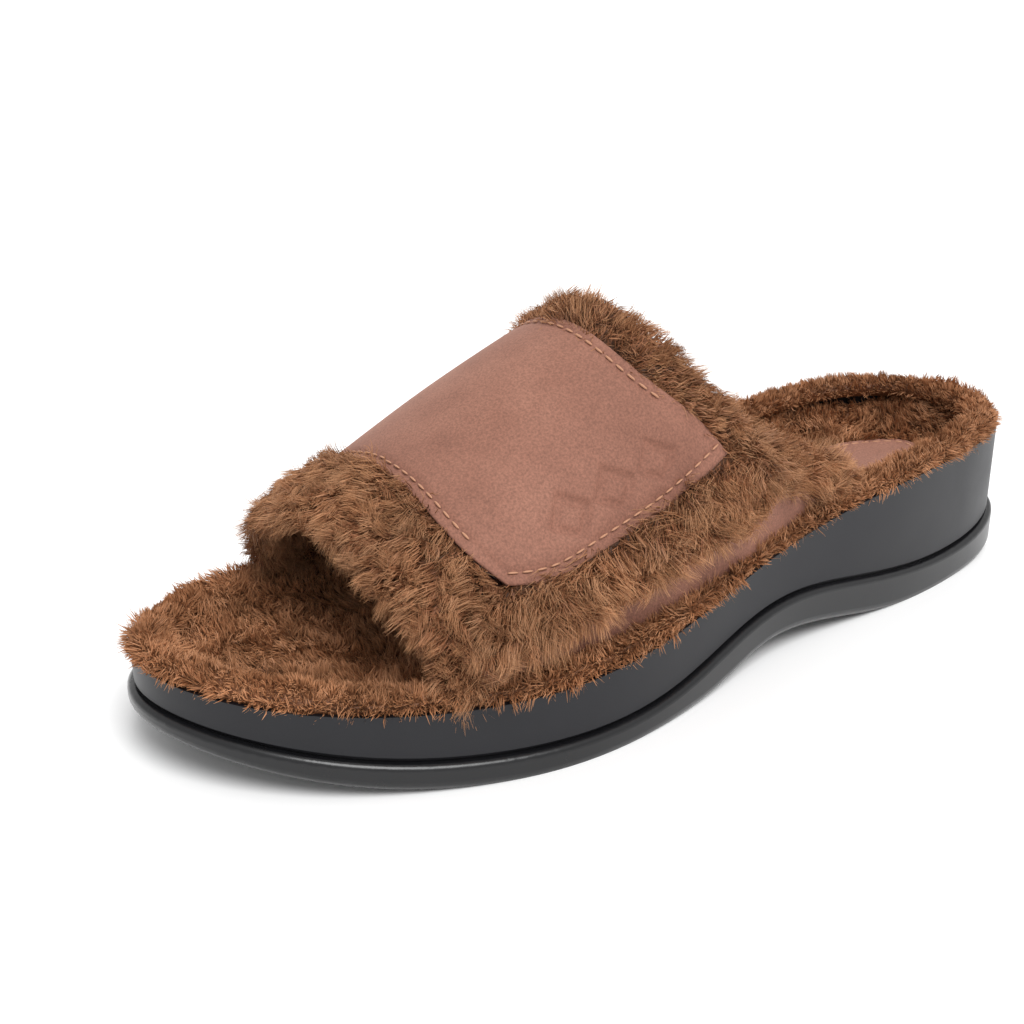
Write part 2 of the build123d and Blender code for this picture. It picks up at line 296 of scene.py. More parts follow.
def plush_pile(name, shaded_roots, middle, tips):
    """Polyester plush: fine strands, with painted shade darkening them at the root and painted light making
    the tips paler.
    """
    material, tree, output = new_material(name)
    if not tree:
        return material
    along = add_node(tree, "ShaderNodeAttribute", attribute_name="along").outputs["Fac"]
    strand = add_node(tree, "ShaderNodeAttribute", attribute_name="strand").outputs["Fac"]
    # The ramp along each strand paints shade at the roots and light on the tips.
    colour = ramp(add_node(tree, "ShaderNodeValToRGB", {"Fac": along}),
                  [(0.0, shaded_roots), (0.45, middle), (1.0, tips)])
    place = add_node(tree, "ShaderNodeTexCoord").outputs["Object"]
    patches = add_node(tree, "ShaderNodeTexNoise", {"Vector": place, "Scale": per_metre(14), "Detail": 3.0})
    shade = add_node(tree, "ShaderNodeMapRange", {
        "Value": patches.outputs["Fac"], "From Min": 0.3, "From Max": 0.7, "To Min": 0.8, "To Max": 1.18})
    each = add_node(tree, "ShaderNodeMapRange", {"Value": strand, "To Min": 0.84, "To Max": 1.16})
    gain = add_node(tree, "ShaderNodeMath", {0: shade.outputs["Result"], 1: each.outputs["Result"]},
                    operation="MULTIPLY")
    varied = add_node(tree, "ShaderNodeVectorMath", {0: colour, "Scale": gain.outputs["Value"]},
                      operation="SCALE")
    shader = add_node(tree, "ShaderNodeBsdfPrincipled", {
        "Base Color": varied.outputs["Vector"], "Roughness": 0.55, "Specular IOR Level": 0.25,
        "Sheen Weight": 0.25, "Sheen Roughness": 0.4, "Sheen Tint": linear("#D9A878")})
    tree.links.new(shader.outputs["BSDF"], output.inputs["Surface"])
    return material


def nubuck(settings):
    """Brushed full-grain leather: matt, with a fine speckled nap and soft cloudy marks from handling."""
    material, tree, output = new_material("nubuck_leather")
    if not tree:
        return material
    place = add_node(tree, "ShaderNodeTexCoord").outputs["Object"]
    cloud = add_node(tree, "ShaderNodeTexNoise", {"Vector": place, "Scale": per_metre(28), "Detail": 4.0,
                                                  "Roughness": 0.6})
    grain = add_node(tree, "ShaderNodeTexNoise", {"Vector": place, "Scale": per_metre(0.55), "Detail": 3.0,
                                                  "Roughness": 0.7})
    base = ramp(add_node(tree, "ShaderNodeValToRGB", {"Fac": cloud.outputs["Fac"]}),
                [(0.3, "#7B5243"), (0.5, "#875C4C"), (0.7, "#926655")])
    speck = add_node(tree, "ShaderNodeMapRange", {
        "Value": grain.outputs["Fac"], "From Min": 0.35, "From Max": 0.65, "To Min": 0.76, "To Max": 1.24})
    varied = add_node(tree, "ShaderNodeVectorMath", {0: base, "Scale": speck.outputs["Result"]},
                      operation="SCALE")
    bump = add_node(tree, "ShaderNodeBump", {"Height": grain.outputs["Fac"], "Strength": 0.25,
                                             "Distance": 0.0002})
    shader = add_node(tree, "ShaderNodeBsdfPrincipled", {
        "Base Color": varied.outputs["Vector"], "Roughness": 0.75, "Specular IOR Level": 0.3,
        "Sheen Weight": 0.25, "Sheen Roughness": 0.5, "Sheen Tint": linear("#E0B8A8"),
        "Normal": bump.outputs["Normal"]})
    tree.links.new(shader.outputs["BSDF"], output.inputs["Surface"])
    return material


def moulded(name, dark, light, roughness, grain_mm, depth_mm, coat=0.0):
    """Moulded polyurethane or rubber: satin skin with a very fine mould texture and faint cloudy wear."""
    material, tree, output = new_material(name)
    if not tree:
        return material
    place = add_node(tree, "ShaderNodeTexCoord").outputs["Object"]
    cloud = add_node(tree, "ShaderNodeTexNoise", {"Vector": place, "Scale": per_metre(22), "Detail": 5.0})
    grain = add_node(tree, "ShaderNodeTexNoise", {"Vector": place, "Scale": per_metre(grain_mm),
                                                  "Detail": 2.0})
    colour = ramp(add_node(tree, "ShaderNodeValToRGB", {"Fac": cloud.outputs["Fac"]}),
                  [(0.3, dark), (0.7, light)])
    rough = add_node(tree, "ShaderNodeMapRange", {
        "Value": cloud.outputs["Fac"], "From Min": 0.3, "From Max": 0.7, "To Min": roughness - 0.05,
        "To Max": roughness + 0.07})
    bump = add_node(tree, "ShaderNodeBump", {"Height": grain.outputs["Fac"], "Strength": 0.3,
                                             "Distance": depth_mm * MM})
    shader = add_node(tree, "ShaderNodeBsdfPrincipled", {
        "Base Color": colour, "Roughness": rough.outputs["Result"], "Normal": bump.outputs["Normal"],
        "Specular IOR Level": 0.36, "Coat Weight": coat, "Coat Roughness": 0.25})
    tree.links.new(shader.outputs["BSDF"], output.inputs["Surface"])
    return material


def plain(name, colour, roughness):
    """A quiet finish with a little unevenness, for thread, tape and foam."""
    return moulded(name, colour, colour, roughness, 0.5, 0.1)


# ---------------------------------------------------------------- pile
def blade(width, segments=3):
    """One strand: a tapered strip one unit long, standing on the origin."""
    bm = bmesh.new()
    bmesh.ops.create_grid(bm, x_segments=1, y_segments=segments, size=0.5)
    for vert in bm.verts:
        along = vert.co.y + 0.5
        vert.co = (vert.co.x * width * (1 - along ** 2 * 0.9), 0, along)
    mesh = bpy.data.meshes.new("strand")
    bm.to_mesh(mesh)
    bm.free()
    return bpy.data.objects.new("strand", mesh)


def pile_tree(strand, density, length, comb, lean, clump, pull, curl, seed, spread, drift):
    """Geometry nodes that stand strands on a surface, comb them and draw them together in tufts."""
    tree = bpy.data.node_groups.new("Pile", "GeometryNodeTree")
    tree.interface.new_socket("Geometry", in_out="INPUT", socket_type="NodeSocketGeometry")
    tree.interface.new_socket("Geometry", in_out="OUTPUT", socket_type="NodeSocketGeometry")
    source = add_node(tree, "NodeGroupInput").outputs[0]
    mask = add_node(tree, "GeometryNodeInputNamedAttribute", {"Name": "pile"}, data_type="FLOAT")
    amount = add_node(tree, "ShaderNodeMath", {0: mask.outputs["Attribute"], 1: density * 1e6},
                      operation="MULTIPLY")
    points = add_node(tree, "GeometryNodeDistributePointsOnFaces", {
        "Mesh": source, "Density": amount.outputs["Value"], "Seed": seed})
    # Each strand leans from the surface's normal towards the way the fabric is combed.
    wobble = add_node(tree, "FunctionNodeRandomValue", {
        "Min": (-spread,) * 3, "Max": (spread,) * 3, "Seed": seed + 1}, data_type="FLOAT_VECTOR")
    combed = add_node(tree, "ShaderNodeVectorMath", {0: tuple(c * lean for c in comb),
                                                     1: wobble.outputs[0]}, operation="ADD")
    rooted_at = add_node(tree, "GeometryNodeInputPosition").outputs[0]
    stray = add_node(tree, "ShaderNodeTexNoise", {"Vector": rooted_at, "Scale": per_metre(16), "Detail": 1.0})
    strayed = add_node(tree, "ShaderNodeVectorMath", {0: stray.outputs["Color"], 1: (0.5, 0.5, 0.5)},
                       operation="SUBTRACT")
    drifting = add_node(tree, "ShaderNodeVectorMath", {0: strayed.outputs["Vector"], "Scale": drift * 4},
                        operation="SCALE")
    swept = add_node(tree, "ShaderNodeVectorMath", {0: combed.outputs["Vector"],
                                                    1: drifting.outputs["Vector"]}, operation="ADD")
    way = add_node(tree, "ShaderNodeVectorMath", {0: points.outputs["Normal"], 1: swept.outputs["Vector"]},
                   operation="ADD")
    aim = add_node(tree, "FunctionNodeAlignRotationToVector", {"Vector": way.outputs["Vector"]}, axis="Z")
    spin = add_node(tree, "FunctionNodeRandomValue", {"Min": 0.0, "Max": 2 * math.pi, "Seed": seed + 2},
                    data_type="FLOAT")
    roll = add_node(tree, "FunctionNodeAxisAngleToRotation", {"Axis": (0, 0, 1), "Angle": spin.outputs[1]})
    turned = add_node(tree, "FunctionNodeRotateRotation", {"Rotation": aim.outputs[0],
                                                           "Rotate By": roll.outputs[0]},
                      rotation_space="LOCAL")
    tall = add_node(tree, "FunctionNodeRandomValue", {"Min": length * 0.65 * MM, "Max": length * 1.1 * MM,
                                                      "Seed": seed + 3}, data_type="FLOAT")
    size = add_node(tree, "ShaderNodeCombineXYZ", {"X": MM, "Y": MM, "Z": tall.outputs[1]})
    root = add_node(tree, "GeometryNodeInputPosition").outputs[0]
    rooted = add_node(tree, "GeometryNodeStoreNamedAttribute", {
        "Geometry": points.outputs["Points"], "Name": "root", "Value": root},
        data_type="FLOAT_VECTOR", domain="POINT")
    lot = add_node(tree, "FunctionNodeRandomValue", {"Seed": seed + 4}, data_type="FLOAT")
    marked = add_node(tree, "GeometryNodeStoreNamedAttribute", {
        "Geometry": rooted.outputs[0], "Name": "strand", "Value": lot.outputs[1]},
        data_type="FLOAT", domain="POINT")
    shape = add_node(tree, "GeometryNodeObjectInfo", {"Object": strand})
    height = add_node(tree, "ShaderNodeSeparateXYZ", {"Vector": root}).outputs["Z"]
    measured = add_node(tree, "GeometryNodeStoreNamedAttribute", {
        "Geometry": shape.outputs["Geometry"], "Name": "along", "Value": height},
        data_type="FLOAT", domain="POINT")
    strands = add_node(tree, "GeometryNodeInstanceOnPoints", {
        "Points": marked.outputs[0], "Instance": measured.outputs[0], "Rotation": turned.outputs[0],
        "Scale": size.outputs[0]})
    real = add_node(tree, "GeometryNodeRealizeInstances", {"Geometry": strands.outputs[0]})
    # Tufts: every strand bends towards the middle of its cell, the more so towards its tip.
    start = add_node(tree, "GeometryNodeInputNamedAttribute", {"Name": "root"}, data_type="FLOAT_VECTOR")
    along = add_node(tree, "GeometryNodeInputNamedAttribute", {"Name": "along"}, data_type="FLOAT")
    begin, part = start.outputs["Attribute"], along.outputs["Attribute"]
    stirred = add_node(tree, "ShaderNodeTexNoise", {"Vector": begin, "Scale": per_metre(clump * 3)})
    shift = add_node(tree, "ShaderNodeVectorMath", {0: stirred.outputs["Color"], "Scale": clump * 1.5 * MM},
                     operation="SCALE")
    moved = add_node(tree, "ShaderNodeVectorMath", {0: begin, 1: shift.outputs["Vector"]}, operation="ADD")
    cell = add_node(tree, "ShaderNodeTexVoronoi", {"Vector": moved.outputs["Vector"],
                                                   "Scale": per_metre(clump)})
    inward = add_node(tree, "ShaderNodeVectorMath", {0: cell.outputs["Position"],
                                                     1: moved.outputs["Vector"]}, operation="SUBTRACT")
    squared = add_node(tree, "ShaderNodeMath", {0: part, 1: 1.6}, operation="POWER")
    drawn = add_node(tree, "ShaderNodeMath", {0: squared.outputs[0], 1: pull}, operation="MULTIPLY")
    tuft = add_node(tree, "ShaderNodeVectorMath", {0: inward.outputs["Vector"], "Scale": drawn.outputs[0]},
                    operation="SCALE")
    # Curl: tufts sway sideways along their length.
    swirl = add_node(tree, "ShaderNodeTexNoise", {"Vector": cell.outputs["Position"],
                                                  "W": part, "Scale": per_metre(clump * 2.2), "Detail": 0.0},
                     noise_dimensions="4D")
    centred = add_node(tree, "ShaderNodeVectorMath", {0: swirl.outputs["Color"], 1: (0.5, 0.5, 0.5)},
                       operation="SUBTRACT")
    sway = add_node(tree, "ShaderNodeMath", {0: part, 1: curl * length * MM}, operation="MULTIPLY")
    curled = add_node(tree, "ShaderNodeVectorMath", {0: centred.outputs["Vector"], "Scale": sway.outputs[0]},
                      operation="SCALE")
    offset = add_node(tree, "ShaderNodeVectorMath", {0: tuft.outputs["Vector"], 1: curled.outputs["Vector"]},
                      operation="ADD")
    bent = add_node(tree, "GeometryNodeSetPosition", {"Geometry": real.outputs[0],
                                                      "Offset": offset.outputs["Vector"]})
    # The bake map: one column for each strand, one row for each height.
    which = add_node(tree, "GeometryNodeInputNamedAttribute", {"Name": "strand"}, data_type="FLOAT")
    chart = add_node(tree, "ShaderNodeCombineXYZ", {"X": which.outputs["Attribute"], "Y": part})
    charted = add_node(tree, "GeometryNodeStoreNamedAttribute", {
        "Geometry": bent.outputs[0], "Name": "OFBake", "Value": chart.outputs[0]},
        data_type="FLOAT2", domain="CORNER")
    both = add_node(tree, "GeometryNodeJoinGeometry")
    tree.links.new(charted.outputs[0], both.inputs[0])
    tree.links.new(source, both.inputs[0])
    output = add_node(tree, "NodeGroupOutput")
    tree.links.new(both.outputs[0], output.inputs[0])
    return tree


def grow_pile(obj, material, density, length, comb, lean=0.6, width=0.42, clump=3.0, pull=0.7, curl=0.5,
              seed=1, spread=0.35, drift=0.3, segments=3, mask=None):
    """Covers a piece with strands and makes them part of its mesh. The mask gives each point its share."""
    mesh = obj.data
    share = np.ones(len(mesh.vertices), np.float32)
    if mask is not None:
        points, normals = (np.empty(len(mesh.vertices) * 3, np.float32) for _ in range(2))
        mesh.vertices.foreach_get("co", points)
        mesh.vertices.foreach_get("normal", normals)
        share = mask(points.reshape(-1, 3) / MM, normals.reshape(-1, 3)).astype(np.float32)
    mesh.attributes.new("pile", "FLOAT", "POINT").data.foreach_set("value", share)
    strand = blade(width, segments)
    modifier = modify(obj, "NODES")
    modifier.node_group = pile_tree(strand, density, length, comb, lean, clump, pull, curl, seed, spread,
                                    drift)
    apply_modifiers(obj)
    obj.data.materials.clear()
    obj.data.materials.append(material)
    for name in ("pile", "root"):
        found = obj.data.attributes.get(name)
        if found:
            obj.data.attributes.remove(found)
    bpy.data.node_groups.remove(bpy.data.node_groups["Pile"])
    bpy.data.objects.remove(strand)
    return obj


# ---------------------------------------------------------------- settings
class SlipperSettings(bpy.types.PropertyGroup):
    """Sizes and colours that a user would change."""

    cuff_pile: bpy.props.FloatProperty(
        name="Cuff pile", description="Length of the fur on the strap's edges, in millimetres",
        default=6.5, min=3.0, max=16.0)
    fleece_pile: bpy.props.FloatProperty(
        name="Fleece pile", description="Length of the pile on the footbed and linings, in millimetres",
        default=3.4, min=2.0, max=10.0)
    stitch_length: bpy.props.FloatProperty(
        name="Stitch length", description="Length of one stitch, in millimetres", default=2.6, min=1.0,
        max=6.0)
    seam_inset: bpy.props.FloatProperty(
        name="Seam inset", description="Distance from a leather edge to its row of stitches, in millimetres",
        default=2.3, min=1.5, max=8.0)
    motif_depth: bpy.props.FloatProperty(
        name="Motif depth", description="How deep the pressed motif is, in millimetres", default=1.3, min=0.0,
        max=2.0)
    # The colour of the plush tips, paler than the rest of each strand as painted light.
    lit_tip_colour: bpy.props.StringProperty(name="Plush", description="Plush tips, as an sRGB hex value",
                                         default="#B88862")


def sizes():
    """The scene's slipper settings."""
    return bpy.context.scene.slipper


# ---------------------------------------------------------------- soft pieces
def front_edge(t):
    """The y of the strap's front edge."""
    return edge_y(t, FRONT_LATERAL, FRONT_MEDIAL)


def rear_edge(t):
    """The y of the strap's rear edge."""
    return edge_y(t, REAR_LATERAL, REAR_MEDIAL)


def end_turn(y):
    """The t of the strap's free end at y."""
    y = np.clip(y, END_EDGE[-1][0], END_EDGE[0][0])
    return turn_at(y, smooth_curve(END_EDGE, y), True)


def on_strap(u, v):
    """Place on the strap: u from the medial side to the free end, v from the rear edge to the front edge."""
    t = STRAP_FOOT + u * (0.8 - STRAP_FOOT)
    for _ in range(25):
        y = rear_edge(t) * (1 - v) + front_edge(t) * v
        t = 0.5 * t + 0.5 * (STRAP_FOOT + u * (end_turn(y) - STRAP_FOOT))
    return y, t


def lozenge(across, along, half_width, half_length, edge):
    """1 inside a lozenge, 0 outside it, with a soft edge."""
    reach = np.abs(across) / half_width + np.abs(along) / half_length
    return 1 / (1 + np.exp(np.clip((reach - 1) / edge, -40, 40)))


def strap_surface(u, v):
    """The strap's leather: drawn down at its seams, a little full between them, with a pressed motif."""
    y, t = on_strap(u, v)
    settings = sizes()
    flat = on_upper(y, t)
    to_front, to_rear = front_edge(t) - y, y - rear_edge(t)
    to_end = (end_turn(y) - t) * GIRTH
    nearest = np.minimum(np.minimum(to_front, to_rear), to_end)
    seam = np.exp(-((nearest - settings.seam_inset) / SEAM_WIDTH) ** 2)
    full = 1 - np.exp(-np.clip(nearest, 0, None) / FULL_WITHIN)
    waves = (np.sin(flat[..., 0] * 0.11 + flat[..., 1] * 0.07) * 0.22
             + np.sin(flat[..., 1] * 0.16 - flat[..., 0] * 0.05 + 1.3) * 0.16)
    side = np.stack([flat[..., 1], flat[..., 2]], -1) - MOTIF_MIDDLE
    along, across = side @ MOTIF_ROW, side @ np.array((MOTIF_ROW[1], -MOTIF_ROW[0]))
    pressed = np.zeros(y.shape)
    for centre in (-MOTIF_PITCH, 0.0, MOTIF_PITCH):
        pressed += lozenge(across, along - centre, 5.0, 6.2, 0.05) - 0.55 * lozenge(
            across, along - centre, 2.8, 3.6, 0.07)
    pressed *= t > 0.5
    lift = 0.55 * full - 0.45 * seam + waves * full - settings.motif_depth * pressed
    return on_upper(y, t, lift)


def on_flap(t, v, lift):
    """Place on the flap under the free end: v from its rear edge to its front edge."""
    rear, front = edge_y(t, FLAP_REAR, FLAP_REAR), edge_y(t, FLAP_FRONT, FLAP_FRONT)
    return on_upper(rear * (1 - v) + front * v, t, lift)


def strip(inner, outer, w):
    """Between two (y, t) lines."""
    return inner[0] * (1 - w) + outer[0] * w, inner[1] * (1 - w) + outer[1] * w


def front_strip(s, w):
    """The front cuff: s from the medial side to the free end's front corner, w outwards."""
    t = CUFF_FOOT + s * (end_turn(END_EDGE[0][0]) - CUFF_FOOT)
    inner = (front_edge(t), t)
    tf = CUFF_FOOT + s * (turn_at(*FUR_END[0], True) - CUFF_FOOT)
    outer = (edge_y(tf, FUR_FRONT_LATERAL, FUR_FRONT_MEDIAL), tf)
    return strip(inner, outer, w)


def end_strip(s, w):
    """The end cuff: s from the front corner to the rear corner."""
    yi = 71.0 - s * 67.0
    yo = 84.0 - s * 104.0
    inner = (yi, end_turn(yi))
    outer = (yo, turn_at(yo, smooth_curve(FUR_END, yo), True))
    return strip(inner, outer, w)


def rear_strip(s, w):
    """The rear cuff: s from the free end's rear corner over the crest to the medial side."""
    t = turn_at(*END_EDGE[-1], True) * (1 - s) + CUFF_FOOT * s
    tf = turn_at(*FUR_END[-1], True) * (1 - s) + CUFF_FOOT * s
    return strip((rear_edge(t), t), (edge_y(tf, FUR_REAR_LATERAL, FUR_REAR_MEDIAL), tf), w)


def flap_front_strip(s, w):
    """The flap's front cuff, from under the strap down to the sole."""
    t = 0.66 + s * 0.37
    return strip((edge_y(t, FLAP_FRONT, FLAP_FRONT), t), (edge_y(t, FLAP_FUR_FRONT, FLAP_FUR_FRONT), t), w)


def flap_rear_strip(s, w):
    """The flap's rear cuff, from under the strap down to the sole."""
    t = 0.66 + s * 0.36
    return strip((edge_y(t, FLAP_REAR, FLAP_REAR), t), (edge_y(t, FLAP_FUR_REAR, FLAP_FUR_REAR), t), w)


def roll(name, place, steps, depth, centre, start=0.02, stop=0.78):
    """The body of a fur cuff: a flattened roll of fleece along a strip, closed at its ends."""
    def on_roll(u, v):
        turn = v * 2 * math.pi
        reach = np.clip(np.sin(math.pi * np.clip(u, 0, 1)) ** 0.12, 0.02, 1)
        middle, half = (start + stop) / 2, (stop - start) / 2
        y, t = place(u, middle + half * reach * np.cos(turn))
        return on_upper(y, t, centre + depth * reach * np.sin(turn))
    return close_up(mapped_grid(name, steps, 20, on_roll, closed=True))


def fur_material():
    """Long plush, for the cuffs."""
    # The dark root colour is painted shade between the strands, and the pale tip colour is painted light.
    return plush_pile("plush_fur", "#472B19", "#85563A", sizes().lit_tip_colour)


def fleece_material():
    """Short plush, for the footbed and the linings."""
    # The dark root colour is painted shade between the strands, and the pale tip colour is painted light.
    return plush_pile("plush_fleece", "#6C452C", "#9E6C4A", "#BF8A64")


def rim_material():
    """The same short plush in slightly darker tones, for the rim, with painted shade at the roots and painted
    light on the tips.
    """
    return plush_pile("plush_rim", "#6B432A", "#9C6A48", "#BC8761")


class SLIPPER_OT_sole(bpy.types.Operator):
    """Give the moulded sole its satin polyurethane wall and glossier rubber tread and lip"""

    bl_idname = "slipper.sole"
    bl_label = "Sole finishes"

    def execute(self, context):
        wall = moulded("moulded_polyurethane", "#16161A", "#1D1D21", 0.4, 0.35, 0.03)
        tread = moulded("moulded_rubber", "#0F0F11", "#141416", 0.3, 0.6, 0.03, coat=0.3)
        foam = moulded("footbed_foam", "#5C5450", "#6A615C", 0.8, 0.8, 0.2)
        tape = moulded("woven_tape", "#2A201A", "#352820", 0.85, 0.5, 0.3)
        finishes = {"midsole": wall, "outsole": tread, "footbed": foam, "strap_foam": foam,
                    "hook_pad": tape, "loop_pad": tape}
        for node, material in finishes.items():
            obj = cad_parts[node]
            obj.data.materials.clear()
            obj.data.materials.append(material)
        return {"FINISHED"}


class SLIPPER_OT_footbed_cover(bpy.types.Operator):
    """Cover the footbed in plush fleece that rolls over the wall as a rim"""

    bl_idname = "slipper.footbed_cover"
    bl_label = "Fleece footbed cover"

    def execute(self, context):
        cover = soft_copy("footbed_cover", "footbed_fleece", 1.2, 0.4, 4)

        def mask(points, normals):
            """Pile above the footbed and over the wall's edge, but not under the heel patch."""
            x, y, z = points.T
            over = z > smooth_curve(WALL_TOP, y) + 0.3
            patch = ((x - PATCH_CENTRE[0]) / (PATCH_RADII[0] + 0.5)) ** 2 + (
                (y - PATCH_CENTRE[1]) / (PATCH_RADII[1] + 0.5)) ** 2
            up = normals[:, 2]
            return (patch > 1) & ((up > 0.1) | (over & (up > -0.5)))

        grow_pile(cover, fleece_material(), 4.5, sizes().fleece_pile, (0.0, 0.6, 0.0), lean=0.8,
                  width=0.36, clump=2.8, pull=0.6, curl=1.1, seed=11, spread=0.5, drift=0.7, segments=2,
                  mask=mask)
        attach(cover, "sole")
        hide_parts("footbed_cover")
        return {"FINISHED"}


def surface_tree(obj):
    """A tree of an object's faces, to cast rays at."""
    bm = bmesh.new()
    bm.from_mesh(obj.data)
    tree = BVHTree.FromBMesh(bm)
    bm.free()
    return tree


def wall_outline(steps=360):
    """Points round the top of the wall's outer face, read from the CAD wall, evenly spaced."""
    tree = surface_tree(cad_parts["midsole"])
    ring = []
    for angle in np.linspace(0, 2 * math.pi, 720, endpoint=False):
        way = Vector((math.sin(angle), math.cos(angle), 0))
        reach = 60.0
        for _ in range(4):
            height = float(smooth_curve(WALL_TOP, way.y * reach)) - 2.0
            start = Vector((way.x * 200, way.y * 200, height)) * MM
            hit = tree.ray_cast(start, -way)[0]
            reach = hit.xy.length / MM
        ring.append((way.x * reach, way.y * reach))
    ring = np.array(ring + ring[:1])
    span = np.concatenate([[0], np.cumsum(np.linalg.norm(np.diff(ring, axis=0), axis=1))])
    at = np.linspace(0, span[-1], steps, endpoint=False)
    return np.stack([np.interp(at, span, ring[:, i]) for i in range(2)], -1)


class SLIPPER_OT_fleece_rim(bpy.types.Operator):
    """Turn the footbed's fleece up into a soft rim along the wall's top"""

    bl_idname = "slipper.fleece_rim"
    bl_label = "Fleece rim"

    def execute(self, context):
        outline = wall_outline()
        steps = len(outline)
        ahead = np.roll(outline, -2, axis=0) - np.roll(outline, 2, axis=0)
        ahead /= np.linalg.norm(ahead, axis=1, keepdims=True)
        inward = np.stack([ahead[:, 1], -ahead[:, 0]], -1)

        def on_rim(u, v):
            i = np.round(u * steps).astype(int) % steps
            turn = v * 2 * math.pi
            inset = 4.9 + 3.8 * np.cos(turn)                # middle of the roll, and half its width
            height = 0.6 + 2.7 * np.sin(turn)               # the same upwards
            x, y = (outline[i] + inward[i] * inset[:, None]).T
            return np.stack([x, y, smooth_curve(WALL_TOP, outline[i, 1]) + height], -1)
        rim = close_up(mapped_grid("fleece_rim", steps, 14, on_rim, closed=True))

        def upper(points, normals):
            """Pile on the rim's top and sides, none where it sits on the wall."""
            return normals[:, 2] > -0.35

        grow_pile(rim, rim_material(), 6.0, sizes().fleece_pile * 0.62, (0, 0, 0.5), lean=0.8, width=0.34,
                  clump=2.4, pull=0.6, curl=1.2, seed=91, spread=0.5, drift=0.5, segments=2, mask=upper)
        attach(rim, "sole")
        return {"FINISHED"}


class SLIPPER_OT_heel_patch(bpy.types.Operator):
    """Sew the oval leather patch into the heel cup"""

    bl_idname = "slipper.heel_patch"
    bl_label = "Heel patch"

    def execute(self, context):
        patch = soft_copy("heel_patch", "heel_patch_leather", 0.45, 0.0, 4)
        patch.data.materials.clear()
        patch.data.materials.append(nubuck(sizes()))
        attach(patch, "sole")
        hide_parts("heel_patch")
        return {"FINISHED"}


class SLIPPER_OT_leather(bpy.types.Operator):
    """Cut the strap's nubuck panel and the flap under its free end"""

    bl_idname = "slipper.leather"
    bl_label = "Nubuck strap and flap"

    def execute(self, context):
        steps = ((200, 150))
        strap = mapped_grid("strap_panel", *steps, strap_surface)
        faces_towards(strap, lambda p: (p.x, 0, p.z - 0.03))
        modify(strap, "SOLIDIFY", thickness=1.4 * MM, offset=-1.0)
        apply_modifiers(strap)
        strap.data.materials.append(nubuck(sizes()))
        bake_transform(strap)
        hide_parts("strap_leather", "strap_margin")

        def flap_surface(u, v):
            return on_flap(0.68 + u * 0.42, v, FLAP_LIFT)

        flap = mapped_grid("flap_panel", 40, 70, flap_surface)
        faces_towards(flap, lambda p: (p.x, 0, p.z - 0.03))
        modify(flap, "SOLIDIFY", thickness=1.3 * MM, offset=-1.0)
        apply_modifiers(flap)
        flap.data.materials.append(nubuck(sizes()))
        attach(flap, "sole")
        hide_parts("flap_leather")
        return {"FINISHED"}


class SLIPPER_OT_cuffs(bpy.types.Operator):
    """Roll the fur cuffs round the edges of the strap and the flap"""

    bl_idname = "slipper.cuffs"
    bl_label = "Fur cuffs"

    def execute(self, context):
        pile = sizes().cuff_pile
        rows = (
            # name, strip, body, CAD node,
            # comb, core depth, core centre, core's outer edge, share of the pile, seed
            ("strap_front_fur", front_strip, "strap", "strap_front_cuff",
             (0, 1.0, -0.7), 1.9, -1.7, 0.8, 0.85, 21),
            ("strap_end_fur", end_strip, "strap", "strap_end_cuff",
             (-0.1, 0.3, -1.0), 2.0, -0.8, 0.84, 1.0, 31),
            ("strap_rear_fur", rear_strip, "strap", "strap_rear_cuff",
             (0, -1.0, -0.3), 1.6, -1.8, 0.76, 0.75, 41),
            ("flap_front_fur", flap_front_strip, "sole", "flap_front_cuff",
             (0, 0.9, -0.3), 1.6, -8.0, 0.74, 0.8, 51),
            ("flap_rear_fur", flap_rear_strip, "sole", "flap_rear_cuff",
             (0, -0.9, -0.1), 1.8, -7.6, 0.74, 0.9, 61),
        )
        for name, place, body, node, comb, depth, centre, stop, share, seed in rows:
            cuff = roll(name, place, 90, depth, centre, start=-0.1, stop=stop)
            grow_pile(cuff, fur_material(), 8.0, pile * share, comb, lean=1.2, width=0.28, clump=2.6,
                      pull=0.8, curl=1.5, seed=seed, spread=0.5, drift=0.4, segments=4)
            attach(cuff, body)
            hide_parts(node)
        return {"FINISHED"}


class SLIPPER_OT_linings(bpy.types.Operator):
    """Line the strap and the flap with short plush"""

    bl_idname = "slipper.linings"
    bl_label = "Fleece linings"

    def execute(self, context):
        settings = sizes()

        def strap_inside(u, v):
            t = u * 0.72
            rear, front = rear_strip_edge(t), front_strip_edge(t)
            return on_upper(rear * (1 - v) + front * v, t, STRAP_LINING_LIFT)

        def flap_inside(u, v):
            return on_flap(0.69 + u * 0.33, v, FLAP_LINING_LIFT)

        rows = (
            # name, surface, body, CAD node, seed
            ("strap_fleece", strap_inside, "strap", "strap_lining", 71),
            ("flap_fleece", flap_inside, "sole", "flap_lining", 81),
        )
        for name, place, body, node, seed in rows:
            lining = mapped_grid(name, 50, 60, place)
            faces_towards(lining, lambda p: (-p.x, 0, 0.03 - p.z))
            modify(lining, "SOLIDIFY", thickness=0.8 * MM, offset=-1.0)
            apply_modifiers(lining)
            grow_pile(lining, fleece_material(), 2.6, settings.fleece_pile, (0, 0.5, 0), lean=0.7, width=0.5,
                      clump=3.4, pull=0.6, curl=1.0, seed=seed, spread=0.5, drift=0.5, segments=2,
                      mask=self.inner_side)
            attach(lining, body)
            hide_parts(node)
        return {"FINISHED"}

    @staticmethod
    def inner_side(points, normals):
        """Pile on the side that looks at the foot, clear of the sole."""
        inward = np.stack([-points[:, 0], np.zeros(len(points)), 30 - points[:, 2]], -1)
        clear = points[:, 2] > smooth_curve(WALL_TOP, points[:, 1]) + 4
        return clear & ((inward * normals).sum(-1) > 0)


